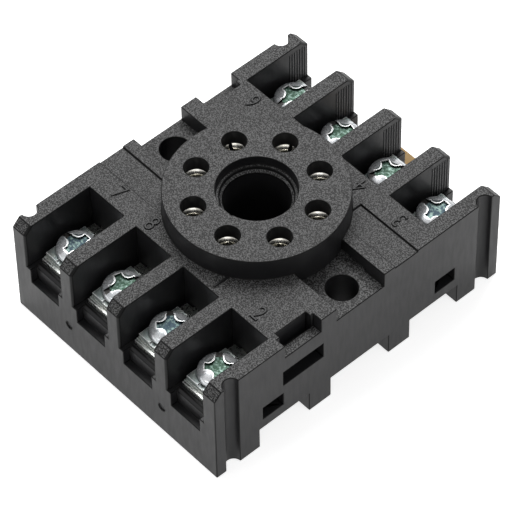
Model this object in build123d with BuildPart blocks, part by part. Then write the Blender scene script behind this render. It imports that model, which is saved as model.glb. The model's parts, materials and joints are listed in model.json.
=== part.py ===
from build123d import *
import math
import os

# An eight-pin octal relay socket with screw terminals, for panel or 35 mm rail mounting.
# X runs along the two terminal rows, Y from the front row to the back row, Z up.
# The origin lies under the centre of the pin circle, in the plane of the feet.

# Body
body_width = 39.5
body_length = 50.2
wall_top = 16.95
disc_top = 20.4
disc_radius = 12.43
deck_thickness = 2.0
side_wall = 2.3
end_chamfer = 1.15

# Feet and rail groove
rail_groove_width = 35.2
groove_height = 3.55
mid_foot_inner = 5.15
mid_foot_outer = 9.0
hook_depth = 1.2
hook_low = 0.9
hook_high = 2.1
hook_width = 7.0
hook_centre_x = 10.5

# Wire compartments
compartments_per_row = 4
partition_wall = 2.46
disc_margin = 1.47
compartment_back_wall = 1.6
shelf_height = 9.6
shelf_bevel = 0.45
notch_depth = 1.1
notch_side_step = 0.65
notch_bottom = 7.1
screw_offset = 0.22

# Pins and key
pin_circle_diameter = 17.45
pin_count = 8
pin_hole_radius = 1.65
contact_top = 18.05
contact_outer_radius = 1.95
contact_inner_radius = 1.25
contact_slit = 0.5
key_bore_radius = 4.5
key_counterbore_radius = 5.43
key_counterbore_depth = 1.4
key_step_radius = 4.95
key_step_depth = 0.35
key_bore_bevel = 0.45
keyway_width = 2.4
keyway_reach = 5.43
key_tube_wall = 1.6

# Contact chamber and base plate
chamber_end_wall = 1.25
base_plate_thickness = 1.8
base_plate_clearance = 0.1
pocket_rim = 0.03
snap_window_length = 3.5
snap_window_height = 2.35
snap_tab_thickness = 0.9
snap_tab_play = 0.2
snap_nose_reach = 1.0
snap_nose_height = 1.1
snap_nose_play = 0.05

# Mounting ears
ear_half_width = 4.15
ear_floor = 14.6
ear_roof = 1.6
mounting_hole_inset = 3.55
mounting_hole_radius = 2.15
mounting_boss_wall = 1.35

# Hold-down clip pockets
clip_pocket_start = 6.87
clip_pocket_end = 13.1
clip_bar_thickness = 1.55
clip_pocket_depth = 2.4
clip_bar_top = 14.65
clip_slot_bottom = 9.25
clip_slot_top = 11.9
clip_slot_extra = 0.35
clip_pocket_inset = 0.5

# Marks and grooves
label_inner_x = 9.0
label_near_y = 6.1
label_far_y = 10.1
label_depth = 0.25
grip_radius = 1.17
grip_inset = 2.85
dimple_radius = 0.65
dimple_sides = 8
dimple_x = 9.2
dimple_z = 4.85
dimple_depth = 0.2

# Terminal plates
plate_thickness = 0.8
plate_side_gap = 0.7
plate_front_inset = 2.0
plate_back_gap = 0.2
grip_strip_height = 0.2
grip_strip_inset = 0.35
grip_strip_length = 1.4
link_width = 3.2
link_tail = 0.8
slot_clearance = 0.06
nut_width = 4.6
nut_height = 1.2
nut_clearance = 0.15
thread_clearance = 0.05

# Screws and clamps
screw_radius = 1.5
screw_head_radius = 2.8
screw_head_height = 1.75
screw_length = 6.6
cross_width = 1.0
cross_length = 3.6
cross_depth = 1.25
tip_pocket_depth_extra = 0.8
clamp_width = 5.0
clamp_front_margin = 0.57
clamp_back_gap = 1.98
clamp_thickness = 0.8
clamp_hole_radius = 1.7
clamp_groove_width = 0.9
clamp_groove_depth = 0.3

# Rail latch and its spring
latch_thickness = 1.0
latch_height = 1.2
latch_width = 11.0
latch_nose_reach = 1.2
latch_tab_reach = 4.3
latch_tab_width = 8.0
latch_tab_lift = 0.9
latch_play = 0.05
latch_nose_bevel = 0.6
latch_bend_offset = 0.4
spring_chord = 7.4
spring_crown_width = 2.6
spring_thickness = 0.3
spring_height = 0.8
spring_window_inset = 1.4
spring_crown_inset = 3.1
spring_post_width = 2.0
spring_post_depth = 1.0
spring_window_play = 0.3

# Values that follow from the sizes above
half_width = body_width / 2
half_length = body_length / 2
groove_half = rail_groove_width / 2
pin_circle_radius = pin_circle_diameter / 2
deck_underside = wall_top - deck_thickness
side_wall_inner = half_width - side_wall
base_plate_top = groove_height + base_plate_thickness
key_tube_half = key_bore_radius + key_tube_wall
terminal_pitch = (body_width - partition_wall) / compartments_per_row
compartment_width = terminal_pitch - partition_wall
compartment_inner_y = disc_radius + disc_margin
chamber_half_x = side_wall_inner - chamber_end_wall
chamber_half_y = compartment_inner_y - compartment_back_wall
shelf_edge_y = half_length - notch_depth
notch_width = compartment_width - 2 * notch_side_step
terminal_y = (compartment_inner_y + half_length) / 2 - screw_offset
row_x = [(i - (compartments_per_row - 1) / 2) * terminal_pitch for i in range(compartments_per_row)]
tip_pocket_half = nut_width / 2 + nut_clearance
base_plate_half_x = side_wall_inner - base_plate_clearance
base_plate_half_y = terminal_y - tip_pocket_half - pocket_rim
mounting_hole_x = half_width - mounting_hole_inset
mounting_boss_half = mounting_hole_radius + mounting_boss_wall
snap_window_outer = base_plate_half_y + snap_tab_play
snap_window_inner = snap_window_outer - snap_window_length
snap_window_top = base_plate_top + snap_window_height
clip_bar_inner_x = half_width - clip_bar_thickness
clip_pocket_inner_x = half_width - clip_pocket_depth
grip_y = half_length - grip_inset
plate_width = compartment_width - 2 * plate_side_gap
plate_front_y = half_length - plate_front_inset
plate_back_y = compartment_inner_y + plate_back_gap
plate_top = shelf_height + plate_thickness
clamp_bottom = plate_top + grip_strip_height
clamp_top = clamp_bottom + clamp_thickness
clamp_front_y = plate_front_y - clamp_front_margin
clamp_back_y = compartment_inner_y + clamp_back_gap
clamp_length = clamp_front_y - clamp_back_y
tip_pocket_bottom = clamp_top - screw_length - tip_pocket_depth_extra
latch_low = latch_height
latch_high = latch_height + latch_thickness
spring_start = groove_half + spring_window_inset
spring_crown = half_length - spring_crown_inset
spring_rise = spring_crown - spring_start


def pin_position(number):
    """Centre of pin hole 1 to 8, counted anticlockwise from the key, seen from above."""
    angle = math.radians(-90 + (number - 0.5) * 360 / pin_count)
    return pin_circle_radius * math.cos(angle), pin_circle_radius * math.sin(angle)


def terminal_position(number):
    """Centre of the screw of terminal 1 to 8, so that no two links cross."""
    front = {7: 0, 8: 1, 1: 2, 2: 3}
    back = {6: 0, 5: 1, 4: 2, 3: 3}
    if number in front:
        return row_x[front[number]], -terminal_y
    return row_x[back[number]], terminal_y


def block(x_low, x_high, y_low, y_high, z_low, z_high, mode=Mode.ADD):
    """A box between two corners, for the pockets and steps of the mouldings."""
    with Locations(((x_low + x_high) / 2, (y_low + y_high) / 2, (z_low + z_high) / 2)):
        Box(abs(x_high - x_low), abs(y_high - y_low), z_high - z_low, mode=mode)


def row_pockets(width, inner_y, outer_y, z_low, z_high):
    """The same rectangular pocket in every wire compartment of both rows."""
    with BuildSketch(Plane.XY.offset(z_low)) as pockets:
        with GridLocations(terminal_pitch, inner_y + outer_y, compartments_per_row, 2):
            Rectangle(width, outer_y - inner_y)
    extrude(pockets.sketch, amount=z_high - z_low, mode=Mode.SUBTRACT)


# Upper housing: the side profile with its end chamfers and rail groove, then the label recesses,
# the ears and the raised pin disc
with BuildPart() as upper_housing:
    with BuildSketch(Plane.YZ):
        with BuildLine():
            Polyline(
                (-half_length, 0),
                (-groove_half, 0),
                (-groove_half, groove_height),
                (groove_half, groove_height),
                (groove_half, 0),
                (half_length, 0),
                (half_length, wall_top - end_chamfer),
                (half_length - end_chamfer, wall_top),
                (end_chamfer - half_length, wall_top),
                (-half_length, wall_top - end_chamfer),
                close=True,
            )
        make_face()
    extrude(amount=half_width, both=True)
    for side in (1, -1):
        block(side * label_inner_x, side * half_width, side * label_near_y, side * label_far_y,
              wall_top - label_depth, wall_top, mode=Mode.SUBTRACT)
        block(side * label_inner_x, side * half_width, -ear_half_width, ear_half_width,
              ear_floor, wall_top, mode=Mode.SUBTRACT)
    with BuildSketch(Plane.XY.offset(ear_floor)):
        Circle(disc_radius)
    extrude(amount=disc_top - ear_floor)

    # Underside: four short feet beside the middle of the rail groove, and two fixed rail hooks
    for side in (1, -1):
        for end in (1, -1):
            block(side * side_wall_inner, side * half_width, end * mid_foot_inner, end * mid_foot_outer,
                  0, groove_height)
        block(side * (hook_centre_x - hook_width / 2), side * (hook_centre_x + hook_width / 2),
              -groove_half, -groove_half + hook_depth, hook_low, hook_high)

    # Chamber for the contacts, closed below by the base plate
    recess_half_y = base_plate_half_y + base_plate_clearance
    block(-side_wall_inner, side_wall_inner, -recess_half_y, recess_half_y, groove_height, base_plate_top,
          mode=Mode.SUBTRACT)
    block(-chamber_half_x, chamber_half_x, -chamber_half_y, chamber_half_y,
          base_plate_top, deck_underside, mode=Mode.SUBTRACT)
    for side in (1, -1):
        block(side * (mounting_hole_x - mounting_boss_half - ear_roof), side * half_width,
              -ear_half_width - ear_roof, ear_half_width + ear_roof, ear_floor - ear_roof, ear_floor)
        block(side * (mounting_hole_x - mounting_boss_half), side * side_wall_inner,
              -mounting_boss_half, mounting_boss_half, groove_height, ear_floor - ear_roof)
    with BuildSketch(Plane.XY.offset(base_plate_top)):
        RegularPolygon(key_tube_half, pin_count, major_radius=False, rotation=180 / pin_count)
    extrude(amount=deck_underside - base_plate_top)

    # Bores: centre key bore with its steps and keyway, pin holes with contact wells, mounting holes
    key_ledge = disc_top - key_counterbore_depth
    key_step = key_ledge - key_step_depth
    with BuildSketch(Plane.XZ):
        with BuildLine():
            Polyline(
                (0, base_plate_top),
                (key_bore_radius, base_plate_top),
                (key_bore_radius, key_step - key_bore_bevel),
                (key_step_radius, key_step),
                (key_step_radius, key_ledge),
                (key_counterbore_radius, key_ledge),
                (key_counterbore_radius, disc_top),
                (0, disc_top),
                close=True,
            )
        make_face()
    revolve(axis=Axis.Z, mode=Mode.SUBTRACT)
    block(-keyway_width / 2, keyway_width / 2, -keyway_reach, 0, base_plate_top, disc_top, mode=Mode.SUBTRACT)
    with BuildSketch(Plane.XY.offset(base_plate_top)):
        with PolarLocations(pin_circle_radius, pin_count, start_angle=180 / pin_count):
            Rectangle(2 * contact_outer_radius, 2 * contact_outer_radius)
    extrude(amount=contact_top - base_plate_top, mode=Mode.SUBTRACT)
    with BuildSketch(Plane.XY.offset(contact_top)):
        with PolarLocations(pin_circle_radius, pin_count, start_angle=180 / pin_count):
            Circle(pin_hole_radius)
    extrude(amount=disc_top - contact_top, mode=Mode.SUBTRACT)
    with BuildSketch(Plane.XY):
        with GridLocations(2 * mounting_hole_x, 1, 2, 1):
            Circle(mounting_hole_radius)
    extrude(amount=wall_top, mode=Mode.SUBTRACT)

    # Wire compartments with their shelves, end notches, screw pockets and link slots
    row_pockets(compartment_width, compartment_inner_y, half_length, shelf_height, wall_top)
    row_pockets(notch_width, shelf_edge_y, half_length, notch_bottom, shelf_height)
    row_pockets(link_width + 2 * slot_clearance, chamber_half_y, compartment_inner_y,
                shelf_height, plate_top + slot_clearance)
    row_pockets(2 * tip_pocket_half, terminal_y - tip_pocket_half, terminal_y + tip_pocket_half,
                tip_pocket_bottom, shelf_height)
    shelf_lines = upper_housing.edges().filter_by(Axis.X).filter_by_position(Axis.Z, shelf_height, shelf_height)
    chamfer(shelf_lines.filter_by(lambda edge: abs(abs(edge.center().Y) - shelf_edge_y) < 0.01),
            length=shelf_bevel)

    # Hold-down clip pockets in both sides, turned half a turn from each other
    for side in (1, -1):
        near, far = -side * clip_pocket_start, -side * clip_pocket_end
        inset = side * clip_pocket_inset
        block(side * clip_pocket_inner_x, side * clip_bar_inner_x, near - inset, far + inset,
              clip_slot_bottom, wall_top, mode=Mode.SUBTRACT)
        block(side * clip_bar_inner_x, side * half_width, near, far, clip_bar_top, wall_top,
              mode=Mode.SUBTRACT)
        block(side * clip_pocket_inner_x, side * half_width, near + side * clip_slot_extra,
              far - side * clip_slot_extra, clip_slot_bottom, clip_slot_top, mode=Mode.SUBTRACT)

    # Snap windows for the base plate, grip grooves and moulding dimples
    for side in (1, -1):
        for end in (1, -1):
            block(side * (side_wall_inner - snap_tab_thickness - 2 * snap_tab_play), side * half_width,
                  end * snap_window_inner, end * snap_window_outer, base_plate_top, snap_window_top,
                  mode=Mode.SUBTRACT)
    with BuildSketch(Plane.XY):
        with GridLocations(body_width, 2 * grip_y, 2, 2):
            Circle(grip_radius)
    extrude(amount=wall_top, mode=Mode.SUBTRACT)
    with BuildSketch(Plane.XZ.offset(half_length - dimple_depth)):
        with Locations((dimple_x, dimple_z), (-dimple_x, dimple_z)):
            RegularPolygon(dimple_radius, dimple_sides)
    extrude(amount=dimple_depth, mode=Mode.SUBTRACT)

    # Guide for the rail latch in the back foot, with the post that carries its spring
    block(-latch_width / 2 - latch_play, latch_width / 2 + latch_play, groove_half, half_length,
          latch_low - latch_play, latch_high + latch_play, mode=Mode.SUBTRACT)
    block(-spring_post_width / 2, spring_post_width / 2, spring_crown, spring_crown + spring_post_depth,
          latch_low - latch_play, latch_high + latch_play)

upper_housing.part.label = "upper_housing"

# Base plate: closes the chamber, carries the contacts and snaps into the side windows
with BuildPart() as base_plate:
    with BuildSketch(Plane.XY.offset(groove_height)):
        Rectangle(2 * base_plate_half_x, 2 * base_plate_half_y)
    extrude(amount=base_plate_thickness)
    for side in (1, -1):
        block(side * (mounting_hole_x - mounting_boss_half - base_plate_clearance), side * base_plate_half_x,
              -mounting_boss_half - base_plate_clearance, mounting_boss_half + base_plate_clearance,
              groove_height, base_plate_top, mode=Mode.SUBTRACT)
    for side in (1, -1):
        tab_outer = side_wall_inner - snap_tab_play
        tab_inner = tab_outer - snap_tab_thickness
        for end in (1, -1):
            near, far = end * (snap_window_inner + snap_tab_play), end * (snap_window_outer - snap_tab_play)
            block(side * tab_inner, side * tab_outer, near, far, base_plate_top,
                  snap_window_top - snap_tab_play)
            nose = [
                (side * tab_outer, base_plate_top + snap_nose_play),
                (side * (tab_outer + snap_nose_reach), base_plate_top + snap_nose_play),
                (side * tab_outer, base_plate_top + snap_nose_play + snap_nose_height),
            ]
            with BuildSketch(Plane.XZ.offset(-max(near, far))):
                with BuildLine():
                    Polyline(*nose, close=True)
                make_face()
            extrude(amount=abs(far - near))

base_plate.part.label = "base_plate"

# Tubular pin contact: a rolled sleeve with a slit that faces away from the key bore
contacts = {}
for number in range(1, pin_count + 1):
    x, y = pin_position(number)
    with BuildPart() as contact:
        with BuildSketch(Plane.XY.offset(base_plate_top)):
            with Locations((x, y)):
                Circle(contact_outer_radius)
                Circle(contact_inner_radius, mode=Mode.SUBTRACT)
            with Locations(Location((x, y), math.degrees(math.atan2(y, x)))):
                Rectangle(2 * contact_outer_radius, contact_slit, align=(Align.MIN, Align.CENTER),
                          mode=Mode.SUBTRACT)
        extrude(amount=contact_top - base_plate_top)
    contact.part.label = f"contact_{number}"
    contacts[number] = contact

# Terminal plate: a raised grip strip in front, a square nut block below and a flat link to its contact
terminals = {}
for number in range(1, pin_count + 1):
    x, y = terminal_position(number)
    pin_x, pin_y = pin_position(number)
    end = 1 if y > 0 else -1
    with BuildPart() as terminal:
        with BuildSketch(Plane.XY.offset(shelf_height)):
            with Locations((x, end * (plate_front_y + plate_back_y) / 2)):
                Rectangle(plate_width, plate_front_y - plate_back_y)
            with Locations((x, end * (plate_back_y + chamber_half_y) / 2)):
                Rectangle(link_width, plate_back_y - chamber_half_y)
            with BuildSketch(mode=Mode.PRIVATE) as link:
                with Locations((x, end * (chamber_half_y - link_tail / 2))):
                    Rectangle(link_width, link_tail)
                with Locations((pin_x, pin_y)):
                    Rectangle(link_width, link_tail)
                make_hull()
            add(link.sketch)
            with Locations((pin_x, pin_y)):
                Circle(contact_outer_radius, mode=Mode.SUBTRACT)
        extrude(amount=plate_thickness)
        with BuildSketch(Plane.XY.offset(shelf_height)):
            with Locations((x, y)):
                Rectangle(nut_width, nut_width)
        extrude(amount=-nut_height)
        with BuildSketch(Plane.XY.offset(plate_top)):
            with Locations((x, end * (plate_front_y - grip_strip_inset - grip_strip_length / 2))):
                Rectangle(plate_width, grip_strip_length)
        extrude(amount=grip_strip_height)
        with BuildSketch(Plane.XY.offset(shelf_height - nut_height)):
            with Locations((x, y)):
                Circle(screw_radius + thread_clearance)
        extrude(amount=nut_height + plate_thickness, mode=Mode.SUBTRACT)
    terminal.part.label = f"terminal_{number}"
    terminals[number] = terminal

# Wire clamp: a rectangular washer, grooved down its middle, that lifts with its screw
clamps = {}
for number in range(1, pin_count + 1):
    x, y = terminal_position(number)
    clamp_y = math.copysign((clamp_front_y + clamp_back_y) / 2, y)
    with BuildPart() as clamp:
        with BuildSketch(Plane.XY.offset(clamp_bottom)):
            with Locations((x, clamp_y)):
                Rectangle(clamp_width, clamp_length)
            with Locations((x, y)):
                Circle(clamp_hole_radius, mode=Mode.SUBTRACT)
        extrude(amount=clamp_thickness)
        with BuildSketch(Plane.XY.offset(clamp_top)):
            with Locations((x, clamp_y)):
                Rectangle(clamp_groove_width, clamp_length)
        extrude(amount=-clamp_groove_depth, mode=Mode.SUBTRACT)
    clamp.part.label = f"clamp_{number}"
    clamps[number] = clamp

# Terminal screw: flat head with a cross recess, plain shank at the thread's outer diameter
screws = {}
for number in range(1, pin_count + 1):
    x, y = terminal_position(number)
    with BuildPart() as screw:
        with BuildSketch(Plane.XY.offset(clamp_top - screw_length)):
            with Locations((x, y)):
                Circle(screw_radius)
        extrude(amount=screw_length)
        with BuildSketch(Plane.XY.offset(clamp_top)):
            with Locations((x, y)):
                Circle(screw_head_radius)
        extrude(amount=screw_head_height)
        with BuildSketch(Plane.XY.offset(clamp_top + screw_head_height)):
            with Locations((x, y)):
                Rectangle(cross_length, cross_width)
                Rectangle(cross_width, cross_length)
        extrude(amount=-cross_depth, mode=Mode.SUBTRACT)
    screw.part.label = f"screw_{number}"
    screws[number] = screw

# Rail latch: flat slide with a nose for the rail's edge, a spring window and a lifted pull tab
window_end = spring_crown + spring_post_depth
with BuildPart() as rail_latch:
    nose_y = groove_half - latch_nose_reach
    tab_start = half_length + latch_thickness
    tab_end = half_length + latch_tab_reach
    with BuildSketch(Plane.YZ):
        with BuildLine():
            Polyline(
                (nose_y + latch_nose_bevel, latch_low),
                (tab_start, latch_low),
                (tab_start + latch_tab_lift, latch_low + latch_tab_lift),
                (tab_end, latch_low + latch_tab_lift),
                (tab_end, latch_high + latch_tab_lift),
                (tab_start + latch_tab_lift - latch_bend_offset, latch_high + latch_tab_lift),
                (tab_start - latch_bend_offset, latch_high),
                (nose_y, latch_high),
                (nose_y, latch_low + latch_nose_bevel),
                close=True,
            )
        make_face()
    extrude(amount=latch_width / 2, both=True)
    for side in (1, -1):
        block(side * latch_tab_width / 2, side * latch_width / 2, half_length + latch_play, tab_end,
              latch_low, latch_high + latch_tab_lift, mode=Mode.SUBTRACT)
    window_half = spring_chord / 2 + spring_window_play
    block(-window_half, window_half, spring_start, window_end, latch_low, latch_high, mode=Mode.SUBTRACT)
rail_latch.part.label = "rail_latch"

# Latch spring: a leaf bent to a flat bow between the latch's window and the post of the housing
with BuildPart() as latch_spring:
    leg_lean = (spring_chord - spring_crown_width) / 2 / spring_rise
    inner_start = spring_chord / 2 - spring_thickness * math.hypot(1, leg_lean)
    inner_crown = inner_start - leg_lean * (spring_rise - spring_thickness)
    with BuildSketch(Plane.XY.offset((latch_low + latch_high - spring_height) / 2)):
        with BuildLine():
            Polyline(
                (-spring_chord / 2, spring_start),
                (-spring_crown_width / 2, spring_crown),
                (spring_crown_width / 2, spring_crown),
                (spring_chord / 2, spring_start),
                (inner_start, spring_start),
                (inner_crown, spring_crown - spring_thickness),
                (-inner_crown, spring_crown - spring_thickness),
                (-inner_start, spring_start),
                close=True,
            )
        make_face()
    extrude(amount=spring_height)
latch_spring.part.label = "latch_spring"

os.makedirs("parts", exist_ok=True)
export_step(upper_housing.part, "parts/upper_housing.step")
export_step(base_plate.part, "parts/base_plate.step")
export_step(rail_latch.part, "parts/rail_latch.step")
export_step(latch_spring.part, "parts/latch_spring.step")
for number in range(1, pin_count + 1):
    export_step(contacts[number].part, f"parts/contact_{number}.step")
    export_step(terminals[number].part, f"parts/terminal_{number}.step")
    export_step(clamps[number].part, f"parts/clamp_{number}.step")
    export_step(screws[number].part, f"parts/screw_{number}.step")
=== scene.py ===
"""Octal relay socket: materials, fine pieces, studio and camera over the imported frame."""
import json
import math

import bmesh
import bpy
from mathutils import Matrix, Vector


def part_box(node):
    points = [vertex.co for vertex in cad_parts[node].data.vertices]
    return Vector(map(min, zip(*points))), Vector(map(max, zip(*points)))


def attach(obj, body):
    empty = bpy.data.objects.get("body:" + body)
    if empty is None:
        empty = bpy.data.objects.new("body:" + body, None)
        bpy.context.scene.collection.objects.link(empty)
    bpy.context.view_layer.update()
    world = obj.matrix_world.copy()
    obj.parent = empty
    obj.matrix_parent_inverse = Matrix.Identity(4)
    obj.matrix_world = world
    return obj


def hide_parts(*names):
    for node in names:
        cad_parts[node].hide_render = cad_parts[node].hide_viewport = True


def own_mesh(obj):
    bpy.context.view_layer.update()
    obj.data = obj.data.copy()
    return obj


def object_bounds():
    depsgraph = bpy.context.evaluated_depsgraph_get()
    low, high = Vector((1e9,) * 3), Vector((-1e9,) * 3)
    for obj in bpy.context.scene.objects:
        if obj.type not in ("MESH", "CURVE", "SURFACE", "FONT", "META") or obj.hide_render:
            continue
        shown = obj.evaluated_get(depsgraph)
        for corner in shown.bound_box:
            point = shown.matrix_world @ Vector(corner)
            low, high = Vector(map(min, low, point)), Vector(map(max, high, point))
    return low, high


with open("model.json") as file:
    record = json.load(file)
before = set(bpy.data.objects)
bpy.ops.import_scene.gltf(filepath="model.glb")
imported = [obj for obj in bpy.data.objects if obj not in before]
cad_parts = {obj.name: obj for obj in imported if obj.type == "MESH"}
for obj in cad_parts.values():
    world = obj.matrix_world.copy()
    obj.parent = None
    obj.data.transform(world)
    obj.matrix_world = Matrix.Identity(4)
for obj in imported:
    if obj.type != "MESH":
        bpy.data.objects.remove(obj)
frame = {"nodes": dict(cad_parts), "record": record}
cad_low, cad_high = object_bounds()

MM = 0.001
NODES = frame["nodes"]
BEHAVIOUR = frame["record"]["behaviour"]
NUMBERS = range(1, 9)

# Sizes are in millimetres and angles in degrees, unless a comment says otherwise

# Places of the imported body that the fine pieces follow
HALF_LENGTH = 25.1
WALL_TOP = 16.95
COLUMNS = 4
COLUMN_PITCH = 9.26
HALF_ROOM = 3.4
NUT_HEIGHT = 1.2
PIN_CIRCLE_RADIUS = 8.725
SAME_PLACE = 0.01

# Rounded edges: widths, and the angle from which an edge is rounded
HOUSING_EDGE = 0.12
METAL_EDGE = 0.07
WIDEST_EDGE = 0.45
EDGE_STEPS = 3
EDGE_ANGLE = 32
FLAT_ANGLE = 0.5
MERGE_DISTANCE = 1e-7
WALL_END_ROUND = 0.35
WALL_END_Y = 23.9
WALL_END_Z = 9.5
SIDE_MARGIN = 0.1

# Grain of the black moulding, on upward faces above GRAIN_FROM; its light tone there is partly
# painted top light
GRAIN_SIZE = 0.165
GRAIN_FROM = 13.0
GRAIN_FADE = 0.5
GRAIN_DARK = (0.004, 0.004, 0.004)
GRAIN_AND_TOP_LIGHT = (0.142, 0.142, 0.143)

# Screw heads: dome, two outer slots, star recess and the ledge round it
HEAD_RADIUS = 2.8
HEAD_RIM = 0.85
HEAD_HEIGHT = 1.75
HEAD_SHOULDER = 0.35
HEAD_FOOT_ROUND = 0.15
HEAD_DRAFT = 0.03
HEAD_DRAFT_HEIGHT = 0.12
HEAD_INNER_SHARE = 0.8
HEAD_RISE = HEAD_HEIGHT - HEAD_RIM
DOME_RADIUS = (HEAD_RADIUS ** 2 + HEAD_RISE ** 2) / (2 * HEAD_RISE)
DOME_SHARE = 0.93
HEAD_STEPS = 72
FOOT_STEPS = 4
DOME_STEPS = 14
LOBE_STEPS = 10
SLOT_WIDTH = 0.85
SLOT_DEPTH = 0.85
SLOT_REACH = 1.2
STAR_TIP = 1.8
STAR_WAIST = 1.1
STAR_ARM = 1.15
STAR_DEPTH = 0.75
LEDGE_WIDTH = 0.27
LEDGE_DEPTH = 0.42
LEDGE_ARM_GROWTH = 1.4
CUTTER_ABOVE = 0.5
RECESS_MARGIN = 0.03
LEVEL_MARGIN = 0.02
UPRIGHT = 0.9
HEAD_SHARP_ANGLE = 30
FLOOR_SLOT, LEDGE_SLOT, OUTER_SLOT = 1, 2, 3

# Screw threads
THREAD_RADIUS = 1.5
THREAD_ROOT = 1.22
THREAD_PITCH = 0.5
THREAD_STEPS = 28

# Pin contacts: the funnel mouth is a profile of (radius, height)
CONTACT_INNER = 1.25
CONTACT_OUTER = 1.95
CONTACT_STEPS = 40
CONTACT_SHARP_ANGLE = 40
MOUTH = [(1.95, 17.85), (1.9, 18.0), (1.83, 18.05), (1.74, 18.0), (1.38, 17.56), (1.28, 17.36),
         (1.25, 17.1)]
SLIT_WIDTH = 0.5

# Teeth of the terminal plates, and the block that cuts them
TOOTH_PITCH = 0.36
TOOTH_DEPTH = 0.17
COMB_REACH = 0.1
COMB_ABOVE = 0.3
COMB_SINK = 0.01

# Ribs of the compartment walls
RIB_PITCH = 0.46
RIB_COUNT = 7
RIB_HEIGHT = 0.07
RIB_HALF_SHARE = 0.32
RIB_INSET = 0.7
RIB_TOP = 16.0

# Terminal numerals, with a painted shadow round each as a dark sheet on the deck, and their places
# (x, y)
NUMERAL_SIZE = 3.5
NUMERAL_HEIGHT = 0.15
NUMERAL_SPREAD = -0.06
NUMERAL_NARROW = 0.8
NUMERAL_SHADOW_HEIGHT = 0.012
NUMERAL_SHADOW_SPREAD = 0.09
NUMERAL_PLACES = {7: (-13.91, -11.81), 8: (-6.95, -12.2), 1: (6.36, -12.16), 2: (13.58, -12.04),
                  6: (-13.86, 12.02), 5: (-6.8, 12.2), 4: (6.71, 12.19), 3: (14.43, 11.95)}

# Screws whose recess floor is bluish, and the turn of each recess about its axis
BLUE_SCREWS = (1, 3, 7)
SCREW_TURNS = {1: 139, 2: 135, 3: 181, 4: 62, 5: 165, 6: 86, 7: 179, 8: 74}

# Studio. Lamps: name, place and size in metres, power in watts
FLOOR_GAP = 0.05
FLOOR_SIZE = 6
PAPER_WHITE = (0.88, 0.88, 0.88, 1)
FLOOR_GLOW = 0.76
WORLD_DIM = 0.2
LAMPS = [
    ("key_lamp", (-0.32, 0.32, 0.66), 0.5, 5.0),
    ("fill_lamp", (0.45, -0.35, 0.5), 0.5, 0.6),
    ("left_lamp", (-0.38, -0.12, 0.68), 0.14, 0.7),
    ("right_lamp", (0.64, 0.22, 0.42), 0.16, 0.5),
    ("front_lamp", (-0.14, -0.66, 0.42), 0.16, 0.5),
]
LAMP_AIM = Vector((0, 0, 0.01))

# Camera, fitted to the photograph: distances in metres, focal length and sensor in millimetres
CAMERA_AZIMUTH = 48.7463
CAMERA_ELEVATION = 50.3346
CAMERA_ROLL = -1.1914
CAMERA_DISTANCE = 0.51219
CAMERA_TARGET = Vector((-0.012177, 0.010319, -0.012575))
CAMERA_LENS = 258.75
CAMERA_SENSOR = 36
CAMERA_NEAREST = 0.01


def body_of(node):
    """The body that carries a node."""
    return next(body for body, members in BEHAVIOUR["bodies"].items() if node in members)


class Material:
    """A node material with short calls for adding and joining shader nodes."""

    def __init__(self, name):
        self.material = bpy.data.materials.new(name)
        self.material.use_nodes = True
        self.tree = self.material.node_tree
        self.tree.nodes.clear()
        self.output = self.add("ShaderNodeOutputMaterial")
        self.shader = self.add("ShaderNodeBsdfPrincipled")
        self.join(self.shader.outputs["BSDF"], self.output.inputs["Surface"])

    def add(self, kind, **values):
        node = self.tree.nodes.new(kind)
        for key, value in values.items():
            setattr(node, key, value)
        return node

    def join(self, source, target):
        self.tree.links.new(source, target)

    def feed(self, name, source):
        """Joins a source to one of the shader's own sockets."""
        self.join(source, self.shader.inputs[name])

    def set(self, **values):
        """Sets constants on the shader's own sockets."""
        for key, value in values.items():
            self.shader.inputs[key.replace("_", " ")].default_value = value

    def position(self):
        return self.add("ShaderNodeTexCoord").outputs["Object"]

    def noise(self, size_mm, detail=2.0, stretch=(1, 1, 1)):
        """Noise whose grains are about size_mm across, from 0 to 1."""
        mapping = self.add("ShaderNodeMapping")
        mapping.inputs["Scale"].default_value = stretch
        self.join(self.position(), mapping.inputs["Vector"])
        noise = self.add("ShaderNodeTexNoise")
        noise.inputs["Scale"].default_value = 1 / (size_mm * MM)
        noise.inputs["Detail"].default_value = detail
        self.join(mapping.outputs["Vector"], noise.inputs["Vector"])
        return noise.outputs["Fac"]

    def ranged(self, value, low, high, to_low=0.0, to_high=1.0):
        """A value stretched from one range to another."""
        node = self.add("ShaderNodeMapRange")
        self.join(value, node.inputs["Value"])
        node.inputs["From Min"].default_value = low
        node.inputs["From Max"].default_value = high
        node.inputs["To Min"].default_value = to_low
        node.inputs["To Max"].default_value = to_high
        return node.outputs["Result"]

    def combine(self, operation, a, b):
        """Two values put together, either of which may be a number."""
        node = self.add("ShaderNodeMath", operation=operation)
        for socket, value in zip(node.inputs, (a, b)):
            if isinstance(value, (int, float)):
                socket.default_value = value
            else:
                self.join(value, socket)
        return node.outputs["Value"]

    def mix(self, factor, a, b):
        """A colour between a and b, either of which may be a socket."""
        node = self.add("ShaderNodeMix", data_type="RGBA")
        self.join(factor, node.inputs["Factor"])
        for name, value in (("A", a), ("B", b)):
            socket = next(s for s in node.inputs if s.name == name and s.type == "RGBA")
            if isinstance(value, tuple):
                socket.default_value = (*value, 1)
            else:
                self.join(value, socket)
        return next(s for s in node.outputs if s.type == "RGBA")

    def bump(self, height, depth_mm):
        """Feeds the shader's normal from a height."""
        node = self.add("ShaderNodeBump")
        node.inputs["Strength"].default_value = 1.0
        node.inputs["Distance"].default_value = depth_mm * MM
        self.join(height, node.inputs["Height"])
        self.feed("Normal", node.outputs["Normal"])


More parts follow.
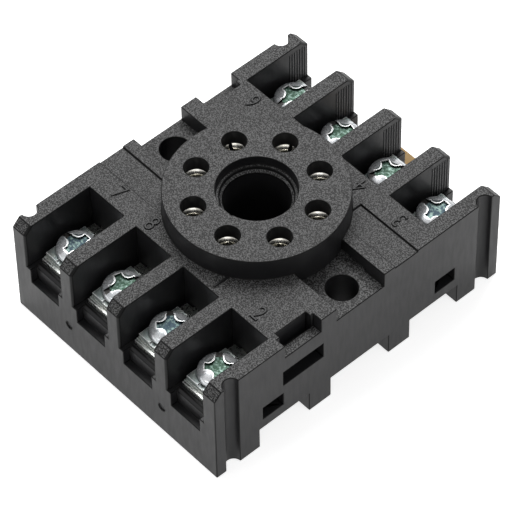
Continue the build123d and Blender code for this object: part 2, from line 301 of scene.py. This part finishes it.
def moulded_black():
    """Black moulding: spark-eroded grain on the faces that look up, smooth and darker elsewhere;
    the grain's light tone on those faces is partly painted top light.
    """
    m = Material("moulded_black")
    geometry = m.add("ShaderNodeNewGeometry")
    normal = m.add("ShaderNodeSeparateXYZ")
    m.join(geometry.outputs["True Normal"], normal.inputs["Vector"])
    place = m.add("ShaderNodeSeparateXYZ")
    m.join(m.position(), place.inputs["Vector"])
    upward = m.ranged(normal.outputs["Z"], 0.4, 0.7)
    outer = m.ranged(place.outputs["Z"], GRAIN_FROM * MM, (GRAIN_FROM + GRAIN_FADE) * MM)
    grain_and_top_light = m.combine("MULTIPLY", upward, outer)
    grain = m.noise(GRAIN_SIZE)
    cloud = m.noise(5.0, 4.0)
    flow = m.noise(0.6, 3.0, stretch=(1, 1, 0.2))
    # Painted top light: the light speckle goes only on upward faces above GRAIN_FROM, none into the
    # compartments below
    speckle_and_top_light = m.mix(m.ranged(grain, 0.45, 0.60), GRAIN_DARK, GRAIN_AND_TOP_LIGHT)
    plain = m.mix(m.ranged(cloud, 0.3, 0.7), (0.009, 0.009, 0.010), (0.016, 0.016, 0.017))
    m.feed("Base Color", m.mix(grain_and_top_light, plain, speckle_and_top_light))
    roughness = m.add("ShaderNodeMix")
    m.join(grain_and_top_light, roughness.inputs["Factor"])
    m.join(m.ranged(flow, 0.3, 0.7, 0.36, 0.46), roughness.inputs["A"])
    m.join(m.ranged(grain, 0.3, 0.7, 0.5, 0.66), roughness.inputs["B"])
    m.feed("Roughness", roughness.outputs["Result"])
    m.bump(m.combine("MULTIPLY", grain, m.ranged(grain_and_top_light, 0.0, 1.0, 0.12, 1.0)), 0.04)
    m.set(Specular_IOR_Level=0.25)
    return m.material


def moulded_edge():
    """Smooth dark line along the rounded edges, darker than the plain moulding: painted shade."""
    m = Material("moulded_edge")
    m.feed("Base Color", m.mix(m.noise(0.8), (0.003, 0.003, 0.003), (0.008, 0.008, 0.008)))
    m.feed("Roughness", m.ranged(m.noise(0.3), 0.3, 0.7, 0.3, 0.42))
    m.set(Specular_IOR_Level=0.12)
    return m.material


def moulded_shadow():
    """Dark matt sheet round the numerals on the deck: a painted shadow."""
    m = Material("moulded_shadow")
    m.feed("Base Color", m.mix(m.noise(0.3), (0.004, 0.004, 0.004), (0.010, 0.010, 0.010)))
    m.feed("Roughness", m.ranged(m.noise(0.2), 0.3, 0.7, 0.7, 0.8))
    m.bump(m.noise(0.2), 0.02)
    m.set(Specular_IOR_Level=0.2)
    return m.material


def moulded_tan():
    """Smooth yellow-brown moulding of the rail latch."""
    m = Material("moulded_tan")
    m.feed("Base Color", m.mix(m.noise(3.0, 3.0), (0.32, 0.19, 0.055), (0.39, 0.24, 0.08)))
    m.feed("Roughness", m.ranged(m.noise(0.4), 0.3, 0.7, 0.34, 0.46))
    m.bump(m.noise(0.2), 0.02)
    m.set(Specular_IOR_Level=0.2)
    return m.material


def plated(name, light, tint, roughness, grain_mm, depth_mm, stretch=(1, 1, 1), metal=1.0):
    """Plated metal whose colour drifts between a light tone and a tint."""
    m = Material(name)
    m.set(Metallic=metal)
    m.feed("Base Color", m.mix(m.ranged(m.noise(1.1, 3.0), 0.38, 0.62), light, tint))
    wear = m.noise(grain_mm, 3.0, stretch)
    m.feed("Roughness", m.ranged(wear, 0.3, 0.7, roughness - 0.06, roughness + 0.08))
    m.bump(m.noise(grain_mm, 2.0, stretch), depth_mm)
    return m.material


def passivated_floor(name, tone):
    """Rough floor of the screw recesses, mottled by the passivation."""
    m = Material(name)
    m.set(Metallic=0.8)
    m.feed("Base Color", m.mix(m.ranged(m.noise(0.35, 3.0), 0.46, 0.74), tone, (0.20, 0.28, 0.25)))
    m.feed("Roughness", m.ranged(m.noise(0.25), 0.3, 0.7, 0.34, 0.5))
    m.bump(m.noise(0.25), 0.02)
    return m.material


def backdrop_white():
    """White floor: lit paper that also shows white to the camera and in reflections."""
    m = Material("backdrop_white")
    m.tree.nodes.remove(m.shader)
    paper = m.add("ShaderNodeBsdfDiffuse")
    paper.inputs["Color"].default_value = PAPER_WHITE
    glow = m.add("ShaderNodeEmission")
    path = m.add("ShaderNodeLightPath")
    seen = m.combine("MAXIMUM", path.outputs["Is Camera Ray"], path.outputs["Is Glossy Ray"])
    seen = m.combine("MAXIMUM", seen, path.outputs["Is Transmission Ray"])
    m.join(m.combine("MULTIPLY", seen, FLOOR_GLOW), glow.inputs["Strength"])
    both = m.add("ShaderNodeAddShader")
    m.join(paper.outputs["BSDF"], both.inputs[0])
    m.join(glow.outputs["Emission"], both.inputs[1])
    m.join(both.outputs["Shader"], m.output.inputs["Surface"])
    return m.material


black = moulded_black()
black_edge = moulded_edge()
shadow_black = moulded_shadow()
tan = moulded_tan()
zinc = plated("bright_zinc", (0.70, 0.71, 0.73), (0.56, 0.59, 0.61), 0.26, 0.5, 0.001, metal=0.6)
green_zinc = passivated_floor("green_zinc", (0.024, 0.050, 0.034))
blue_zinc = passivated_floor("blue_zinc", (0.024, 0.040, 0.052))
# Painted highlight: near-white plating on the screw-head ledges and on the edges of the clamps and
# terminals
highlight_zinc = plated("zinc_painted_highlight", (0.97, 0.97, 0.97), (0.92, 0.94, 0.95), 0.25, 0.5, 0.004,
                   metal=0.25)
# Painted shade: near-black plating on the slot faces outside the star, standing in for the dark
# reflection of the housing and the shade in the slot
slot_painted_shade = plated("slot_painted_shade", (0.034, 0.032, 0.030), (0.015, 0.015, 0.015), 0.4, 0.4, 0.01,
                   metal=0.7)
clamp_zinc = plated("satin_zinc", (0.31, 0.34, 0.32), (0.23, 0.27, 0.27), 0.34, 0.3, 0.012,
                    stretch=(1, 0.15, 1))
plate_zinc = plated("plate_zinc", (0.52, 0.53, 0.50), (0.42, 0.45, 0.43), 0.28, 0.4, 0.01)
contact_tin = plated("tinned_contact", (0.84, 0.82, 0.76), (0.70, 0.68, 0.61), 0.22, 0.5, 0.01)
spring_bright = plated("spring_strip", (0.62, 0.62, 0.62), (0.5, 0.5, 0.52), 0.3, 0.4, 0.006,
                       stretch=(0.2, 1, 1))


def new_object(name, data, *materials):
    """An object in the scene, with the given materials if there are any."""
    piece = bpy.data.objects.new(name, data)
    bpy.context.scene.collection.objects.link(piece)
    if materials:
        data.materials.clear()
    for material in materials:
        data.materials.append(material)
    return piece


def closed_mesh(name, shape):
    """The mesh of a bmesh with its faces turned outward; the bmesh is freed."""
    bmesh.ops.recalc_face_normals(shape, faces=shape.faces)
    mesh = bpy.data.meshes.new(name)
    shape.to_mesh(mesh)
    shape.free()
    return mesh


def applied(piece):
    """The mesh of an object with its modifiers applied."""
    bpy.context.view_layer.update()
    seen = piece.evaluated_get(bpy.context.evaluated_depsgraph_get())
    return bpy.data.meshes.new_from_object(seen)


def cut_away(piece, tools):
    """The mesh of an object, modifiers applied and the tools cut out; the tools are removed."""
    for tool in tools:
        cut = piece.modifiers.new("cut", "BOOLEAN")
        cut.object = tool
        cut.operation = "DIFFERENCE"
        cut.solver = "EXACT"
    mesh = applied(piece)
    piece.modifiers.clear()
    for tool in tools:
        bpy.data.objects.remove(tool)
    return mesh


def circle_point(centre, radius, angle, height):
    """A point in metres on a level circle, whose sizes are in millimetres."""
    x, y = centre
    return (x + radius * math.cos(angle)) * MM, (y + radius * math.sin(angle)) * MM, height * MM


def arc(centre, radius, start, end, count):
    """Points of an arc in a plane, angles counted from its first axis."""
    points = []
    for i in range(count + 1):
        angle = math.radians(start + (end - start) * i / count)
        points.append((centre[0] + radius * math.cos(angle), centre[1] + radius * math.sin(angle)))
    return points


def wall_end(edge):
    """Tells the edges at the open ends of the walls, which have the wider rounding."""
    a, b = (vertex.co / MM for vertex in edge.verts)
    inside = max(abs(a.x), abs(b.x)) < cad_high.x / MM - SIDE_MARGIN
    along_wall = abs(a.x - b.x) < SAME_PLACE
    at_end = min(abs(a.y), abs(b.y)) > WALL_END_Y and min(a.z, b.z) > WALL_END_Z
    return inside and along_wall and at_end


def slice_at(shape, place_mm, normal):
    """Cuts the faces along a plane, so that none runs all round a hole."""
    everything = shape.verts[:] + shape.edges[:] + shape.faces[:]
    bmesh.ops.bisect_plane(shape, geom=everything, dist=MERGE_DISTANCE,
                           plane_co=Vector(place_mm) * MM, plane_no=normal)


def softened(node, width_mm, material, edge_material, wide=None, wide_mm=WIDEST_EDGE):
    """A copy of a CAD node, which stands for it, with narrow rounded edges of their own material.

    Edges that wide() picks are rounded by wide_mm instead.
    """
    mesh = NODES[node].data.copy()
    mesh.name = node + "_softened"
    shape = bmesh.new()
    shape.from_mesh(mesh)
    bmesh.ops.remove_doubles(shape, verts=shape.verts, dist=MERGE_DISTANCE)
    bmesh.ops.dissolve_limit(shape, angle_limit=math.radians(FLAT_ANGLE), verts=shape.verts,
                             edges=shape.edges)
    for i in range(1 - COLUMNS, COLUMNS):
        slice_at(shape, (i * COLUMN_PITCH / 2, 0, 0), (1, 0, 0))
    slice_at(shape, (0, 0, 0), (0, 1, 0))
    for face in shape.faces:
        face.smooth = True
    weight = shape.edges.layers.float.new("bevel_weight_edge")
    for edge in shape.edges:
        if len(edge.link_faces) == 2 and edge.calc_face_angle() > math.radians(EDGE_ANGLE):
            edge[weight] = 1.0 if wide and wide(edge) else width_mm / wide_mm
    shape.to_mesh(mesh)
    shape.free()
    piece = new_object(node + "_softened", mesh, material, edge_material)
    bevel = piece.modifiers.new("edges", "BEVEL")
    bevel.width = wide_mm * MM
    bevel.segments = EDGE_STEPS
    bevel.limit_method = "WEIGHT"
    bevel.use_clamp_overlap = False
    bevel.harden_normals = True
    # The rounded edges take the second material: a painted shade line on the housing, a painted
    # highlight on the clamps and terminals
    bevel.material = 1
    piece.modifiers.new("flat_faces", "WEIGHTED_NORMAL").keep_sharp = True
    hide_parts(node)
    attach(piece, body_of(node))
    return piece


def make_spring():
    """Leaf spring of the latch, with narrow rounded edges."""
    piece = softened("latch_spring", METAL_EDGE / 2, spring_bright, spring_bright)
    piece.data = applied(piece)
    piece.modifiers.clear()
    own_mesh(piece)


def turned(shape, profile, steps):
    """Revolves a profile of (radius, height) points about Z into the open bmesh."""
    rings = []
    for radius, height in profile:
        angles = [2 * math.pi * i / steps for i in range(steps if radius else 1)]
        rings.append([shape.verts.new(circle_point((0, 0), radius, angle, height))
                      for angle in angles])
    for low, high in zip(rings, rings[1:]):
        for i in range(steps):
            j = (i + 1) % steps
            corners = [low[i % len(low)], low[j % len(low)], high[j % len(high)],
                       high[i % len(high)]]
            unique = list(dict.fromkeys(corners))
            if len(unique) > 2:
                shape.faces.new(unique)


def head_profile():
    """Pan head from its underside to its crown."""
    foot_centre = HEAD_RADIUS - HEAD_FOOT_ROUND, HEAD_FOOT_ROUND
    foot = arc(foot_centre, HEAD_FOOT_ROUND, -90, 0, FOOT_STEPS)
    edge_angle = math.degrees(math.asin(HEAD_RADIUS / DOME_RADIUS))
    dome = arc((0, HEAD_HEIGHT - DOME_RADIUS), DOME_RADIUS, 90 - edge_angle * DOME_SHARE, 90,
               DOME_STEPS)
    shoulder = [(HEAD_RADIUS, HEAD_RIM - HEAD_SHOULDER),
                (HEAD_RADIUS - HEAD_DRAFT, HEAD_RIM - HEAD_DRAFT_HEIGHT)]
    inner = [(THREAD_RADIUS * HEAD_INNER_SHARE, 0)]
    return inner + foot + shoulder + dome[:-1] + [(0, HEAD_HEIGHT)]


def star_outline(tip, waist, arm):
    """Four arms with round lobes between them, as a list of (x, y)."""
    away = (tip ** 2 + arm ** 2 / 4 - waist ** 2) / (2 * tip + arm - 2 * math.sqrt(2) * waist)
    radius = away * math.sqrt(2) - waist
    start = math.degrees(math.atan2(arm / 2 - away, tip - away))
    points = []
    for quarter in range(4):
        turn = Matrix.Rotation(math.radians(90 * quarter), 2)
        for x, y in arc((away, away), radius, start, -270 - start, LOBE_STEPS):
            points.append(tuple(turn @ Vector((x, y))))
    return points


def head_cutter(outline, depth):
    """An upright prism that cuts an outline into the head, to a depth below its crown."""
    shape = bmesh.new()
    top, bottom = HEAD_HEIGHT + CUTTER_ABOVE, HEAD_HEIGHT - depth
    upper = [shape.verts.new((x * MM, y * MM, top * MM)) for x, y in outline]
    lower = [shape.verts.new((x * MM, y * MM, bottom * MM)) for x, y in outline]
    shape.faces.new(upper)
    shape.faces.new(list(reversed(lower)))
    for i in range(len(outline)):
        j = (i + 1) % len(outline)
        shape.faces.new([upper[i], lower[i], lower[j], upper[j]])
    return new_object("cutter", closed_mesh("cutter", shape))


def head_mesh():
    """Pan head with a star recess, a ledge round it and a slot outside it on two sides.

    The recess floor, the ledge and the slots have material slots of their own; the ledge takes a
    painted highlight and the outer slots a painted shade.
    """
    shape = bmesh.new()
    turned(shape, head_profile(), HEAD_STEPS)
    bmesh.ops.holes_fill(shape, edges=[edge for edge in shape.edges if edge.is_boundary])
    head = new_object("head", closed_mesh("head", shape), zinc, green_zinc, highlight_zinc, slot_painted_shade)
    far, half = HEAD_RADIUS * SLOT_REACH, SLOT_WIDTH / 2
    slot = ((STAR_TIP, -half), (far, -half), (far, half), (STAR_TIP, half))
    ledge = star_outline(STAR_TIP + LEDGE_WIDTH, STAR_WAIST + LEDGE_WIDTH,
                         STAR_ARM + LEDGE_ARM_GROWTH * LEDGE_WIDTH)
    star = star_outline(STAR_TIP, STAR_WAIST, STAR_ARM)
    cutters = [head_cutter([(side * x, side * y) for x, y in slot], SLOT_DEPTH) for side in (-1, 1)]
    cutters += [head_cutter(ledge, LEDGE_DEPTH), head_cutter(star, STAR_DEPTH)]
    made = cut_away(head, cutters)
    bpy.data.objects.remove(head)
    ledge_height = HEAD_HEIGHT - LEDGE_DEPTH
    for face in made.polygons:
        face.use_smooth = True
        centre = face.center / MM
        depth = DOME_RADIUS - (centre - Vector((0, 0, HEAD_HEIGHT - DOME_RADIUS))).length
        if depth <= RECESS_MARGIN or centre.z <= HEAD_HEIGHT - SLOT_DEPTH - RECESS_MARGIN:
            continue
        across = math.hypot(centre.x, centre.y)
        if abs(centre.z - ledge_height) < LEVEL_MARGIN and face.normal.z > UPRIGHT:
            face.material_index = LEDGE_SLOT
        elif across > STAR_TIP + LEVEL_MARGIN and centre.z < ledge_height - LEVEL_MARGIN:
            # Slot faces outside the star take the painted shade
            face.material_index = OUTER_SLOT
        else:
            face.material_index = FLOOR_SLOT
    made.set_sharp_from_angle(angle=math.radians(HEAD_SHARP_ANGLE))
    return made


def thread_mesh(length):
    """Helical V thread from the head's underside down to a blunt tip."""
    shape = bmesh.new()
    turns = int(length / THREAD_PITCH)
    rows = []
    for i in range(turns * THREAD_STEPS + 1):
        angle = 2 * math.pi * i / THREAD_STEPS
        height = -length + THREAD_PITCH * i / THREAD_STEPS
        row = []
        for radius, shift in ((THREAD_ROOT, 0.0), (THREAD_RADIUS, 0.5)):
            z = min(height + shift * THREAD_PITCH, 0)
            row.append(shape.verts.new(circle_point((0, 0), radius, angle, z)))
        rows.append(row)
    for i in range(len(rows) - 1):
        here, following = rows[i], rows[i + 1]
        shape.faces.new([here[0], following[0], following[1], here[1]])
        if i + THREAD_STEPS + 1 < len(rows):
            above, above_following = rows[i + THREAD_STEPS], rows[i + THREAD_STEPS + 1]
            shape.faces.new([here[1], following[1], above_following[0], above[0]])
    tip = shape.verts.new((0, 0, -length * MM))
    for i in range(THREAD_STEPS):
        shape.faces.new([tip, rows[i + 1][0], rows[i][0]])
    for face in shape.faces:
        face.smooth = True
    return closed_mesh("thread", shape)


def make_screws():
    """Screw heads, turned as in the photograph, and their threads."""
    head = head_mesh()
    low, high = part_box("screw_1")
    thread = thread_mesh((high.z - low.z) / MM - HEAD_HEIGHT)
    for number in NUMBERS:
        low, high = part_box(f"screw_{number}")
        middle = (low + high) / 2
        seat = max(v.co.z for v in NODES[f"clamp_{number}"].data.vertices)
        turn = Matrix.Rotation(math.radians(SCREW_TURNS[number]), 4, "Z")
        place = Matrix.Translation((middle.x, middle.y, seat)) @ turn
        piece = new_object(f"screw_head_{number}", head.copy())
        if number in BLUE_SCREWS:
            piece.data.materials[FLOOR_SLOT] = blue_zinc
        shank = new_object(f"screw_thread_{number}", thread.copy(), zinc)
        for part in (piece, shank):
            part.data.transform(place)
            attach(part, body_of(f"screw_{number}"))
        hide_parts(f"screw_{number}")


def comb(x_low, x_high, y_low, y_high, top, along_x):
    """A block whose underside is a row of V ridges, to cut teeth into a plate."""
    low, high = (y_low, y_high) if along_x else (x_low, x_high)
    start, end = (x_low, x_high) if along_x else (y_low, y_high)
    count = round((high - low) / TOOTH_PITCH)
    pitch = (high - low) / count
    crest = top - COMB_SINK
    line = [(low - COMB_REACH, top + COMB_ABOVE), (low - COMB_REACH, crest)]
    for i in range(count):
        line += [(low + i * pitch, crest), (low + (i + 0.5) * pitch, top - TOOTH_DEPTH)]
    line += [(high, crest), (high + COMB_REACH, crest), (high + COMB_REACH, top + COMB_ABOVE)]
    shape = bmesh.new()
    ends = []
    for value in (start - COMB_REACH, end + COMB_REACH):
        points = [(value, t, z) if along_x else (t, value, z) for t, z in line]
        ends.append([shape.verts.new(Vector(point) * MM) for point in points])
    shape.faces.new(ends[0])
    shape.faces.new(list(reversed(ends[1])))
    for i in range(len(line)):
        j = (i + 1) % len(line)
        shape.faces.new([ends[0][i], ends[1][i], ends[1][j], ends[0][j]])
    return new_object("comb", closed_mesh("comb", shape))


def make_terminal(number):
    """Terminal plate with crossed rows of fine teeth cut into its grip strip."""
    piece = softened(f"terminal_{number}", METAL_EDGE / 2, plate_zinc, highlight_zinc)
    points = [vertex.co / MM for vertex in NODES[f"terminal_{number}"].data.vertices]
    top = max(point.z for point in points)
    strip = [point for point in points if point.z > top - SAME_PLACE]
    x_low, x_high = min(point.x for point in strip), max(point.x for point in strip)
    y_low, y_high = min(point.y for point in strip), max(point.y for point in strip)
    combs = [comb(x_low, x_high, y_low, y_high, top, along_x) for along_x in (False, True)]
    piece.data = cut_away(piece, combs)


def make_contact(number):
    """Rolled pin contact with a slit and a mouth that opens like a funnel."""
    angle = 2 * math.pi * (number - 0.5) / len(NUMBERS) - math.pi / 2
    centre = PIN_CIRCLE_RADIUS * math.cos(angle), PIN_CIRCLE_RADIUS * math.sin(angle)
    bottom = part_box(f"contact_{number}")[0].z / MM
    profile = [(CONTACT_INNER, bottom), (CONTACT_OUTER, bottom)] + MOUTH
    shape = bmesh.new()
    rows = []
    for radius, height in profile:
        half = math.asin(SLIT_WIDTH / 2 / radius)
        row = []
        for i in range(CONTACT_STEPS + 1):
            turn = angle + half + (2 * math.pi - 2 * half) * i / CONTACT_STEPS
            row.append(shape.verts.new(circle_point(centre, radius, turn, height)))
        rows.append(row)
    for low_row, high_row in zip(rows, rows[1:] + rows[:1]):
        for i in range(CONTACT_STEPS):
            corners = [low_row[i], low_row[i + 1], high_row[i + 1], high_row[i]]
            shape.faces.new(corners).smooth = True
    shape.faces.new([row[0] for row in rows])
    shape.faces.new([row[-1] for row in reversed(rows)])
    mesh = closed_mesh(f"contact_sleeve_{number}", shape)
    mesh.set_sharp_from_angle(angle=math.radians(CONTACT_SHARP_ANGLE))
    piece = new_object(f"contact_sleeve_{number}", mesh, contact_tin)
    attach(piece, body_of(f"contact_{number}"))
    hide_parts(f"contact_{number}")


def make_wall_ribs():
    """Fine upright ribs on the compartment walls beside the open ends."""
    shape = bmesh.new()
    shelf = min(v.co.z for v in NODES["terminal_1"].data.vertices) / MM + NUT_HEIGHT
    half = RIB_PITCH * RIB_HALF_SHARE
    for column in range(COLUMNS):
        middle = (column - (COLUMNS - 1) / 2) * COLUMN_PITCH
        for end in (-1, 1):
            for i in range(RIB_COUNT):
                y = end * (HALF_LENGTH - RIB_INSET - i * RIB_PITCH)
                x = middle - end * HALF_ROOM
                crest = x + end * RIB_HEIGHT
                verts = []
                for z in (shelf, RIB_TOP):
                    for px, py in ((x, y - half), (crest, y), (x, y + half)):
                        verts.append(shape.verts.new((px * MM, py * MM, z * MM)))
                a, b, c, d, e, f = verts
                for corners in ((a, b, e, d), (b, c, f, e), (d, e, f), (c, b, a)):
                    shape.faces.new(corners)
    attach(new_object("wall_ribs", closed_mesh("wall_ribs", shape), black), "housing")


def numeral(name, number, x, y, height, spread, material):
    """One digit that stands on the deck, its strokes widened by spread."""
    curve = bpy.data.curves.new(name, "FONT")
    curve.body = str(number)
    curve.size = NUMERAL_SIZE * MM
    curve.align_x = "CENTER"
    curve.align_y = "CENTER"
    curve.offset = spread * MM
    curve.extrude = height * MM
    curve.resolution_u = 4
    piece = new_object(name, curve, material)
    piece.location = (x * MM, y * MM, WALL_TOP * MM)
    piece.scale = (NUMERAL_NARROW, 1, 1)
    piece.rotation_euler = (0, 0, 0 if y < 0 else math.pi)
    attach(piece, "housing")


def make_numerals():
    """Raised terminal numbers beside the compartments; the back row reads from the back."""
    for number, (x, y) in NUMERAL_PLACES.items():
        numeral(f"numeral_{number}", number, x, y, NUMERAL_HEIGHT, NUMERAL_SPREAD, black)
        # A thin dark sheet round each numeral: painted shadow on the deck
        numeral(f"numeral_shadow_{number}", number, x, y, NUMERAL_SHADOW_HEIGHT, NUMERAL_SHADOW_SPREAD,
                shadow_black)


def make_floor():
    """White floor just below the feet."""
    place = (0, 0, cad_low.z - FLOOR_GAP * MM)
    bpy.ops.mesh.primitive_plane_add(size=FLOOR_SIZE, location=place)
    floor = bpy.context.object
    floor.name = "studio_floor"
    floor.data.materials.append(backdrop_white())


def make_world():
    """Sky that shows brightly to the camera and in reflections, and lights only dimly."""
    world = bpy.data.worlds.new("studio")
    bpy.context.scene.world = world
    world.use_nodes = True
    tree = world.node_tree
    tree.nodes.clear()
    output = tree.nodes.new("ShaderNodeOutputWorld")
    background = tree.nodes.new("ShaderNodeBackground")
    path = tree.nodes.new("ShaderNodeLightPath")
    seen = tree.nodes.new("ShaderNodeMath")
    seen.operation = "MAXIMUM"
    level = tree.nodes.new("ShaderNodeMapRange")
    level.inputs["To Min"].default_value = WORLD_DIM
    level.inputs["To Max"].default_value = 1.0
    tree.links.new(path.outputs["Is Camera Ray"], seen.inputs[0])
    tree.links.new(path.outputs["Is Glossy Ray"], seen.inputs[1])
    tree.links.new(seen.outputs["Value"], level.inputs["Value"])
    tree.links.new(level.outputs["Result"], background.inputs["Strength"])
    tree.links.new(background.outputs["Background"], output.inputs["Surface"])


def make_lamp(name, place, size, power):
    """A soft square lamp that points at the middle of the object."""
    lamp = bpy.data.lights.new(name, "AREA")
    lamp.shape = "SQUARE"
    lamp.size = size
    lamp.energy = power
    piece = new_object(name, lamp)
    piece.location = place
    piece.rotation_euler = (LAMP_AIM - Vector(place)).to_track_quat("-Z", "Y").to_euler()


def make_camera():
    """Camera at the photograph's viewing angle."""
    azimuth, elevation = math.radians(CAMERA_AZIMUTH), math.radians(CAMERA_ELEVATION)
    back = Vector((math.sin(azimuth) * math.cos(elevation),
                   -math.cos(azimuth) * math.cos(elevation), math.sin(elevation)))
    right = Vector((0, 0, 1)).cross(back).normalized()
    level = Matrix((right, back.cross(right), back)).transposed()
    roll = Matrix.Rotation(math.radians(CAMERA_ROLL), 3, "Z")
    camera = bpy.data.cameras.new("camera")
    camera.lens = CAMERA_LENS
    camera.sensor_width = CAMERA_SENSOR
    camera.clip_start = CAMERA_NEAREST
    piece = new_object("camera", camera)
    place = Matrix.Translation(CAMERA_TARGET + back * CAMERA_DISTANCE)
    piece.matrix_world = place @ (level @ roll).to_4x4()
    bpy.context.scene.camera = piece


softened("upper_housing", HOUSING_EDGE, black, black_edge, wall_end, WALL_END_ROUND)
softened("base_plate", HOUSING_EDGE, black, black_edge)
softened("rail_latch", HOUSING_EDGE, tan, tan)
make_spring()
for number in NUMBERS:
    softened(f"clamp_{number}", METAL_EDGE, clamp_zinc, highlight_zinc)
    make_terminal(number)
    make_contact(number)
make_screws()
make_wall_ribs()
make_numerals()
make_floor()
make_world()
for lamp in LAMPS:
    make_lamp(*lamp)
make_camera()

bpy.context.scene.view_settings.view_transform = "Standard"
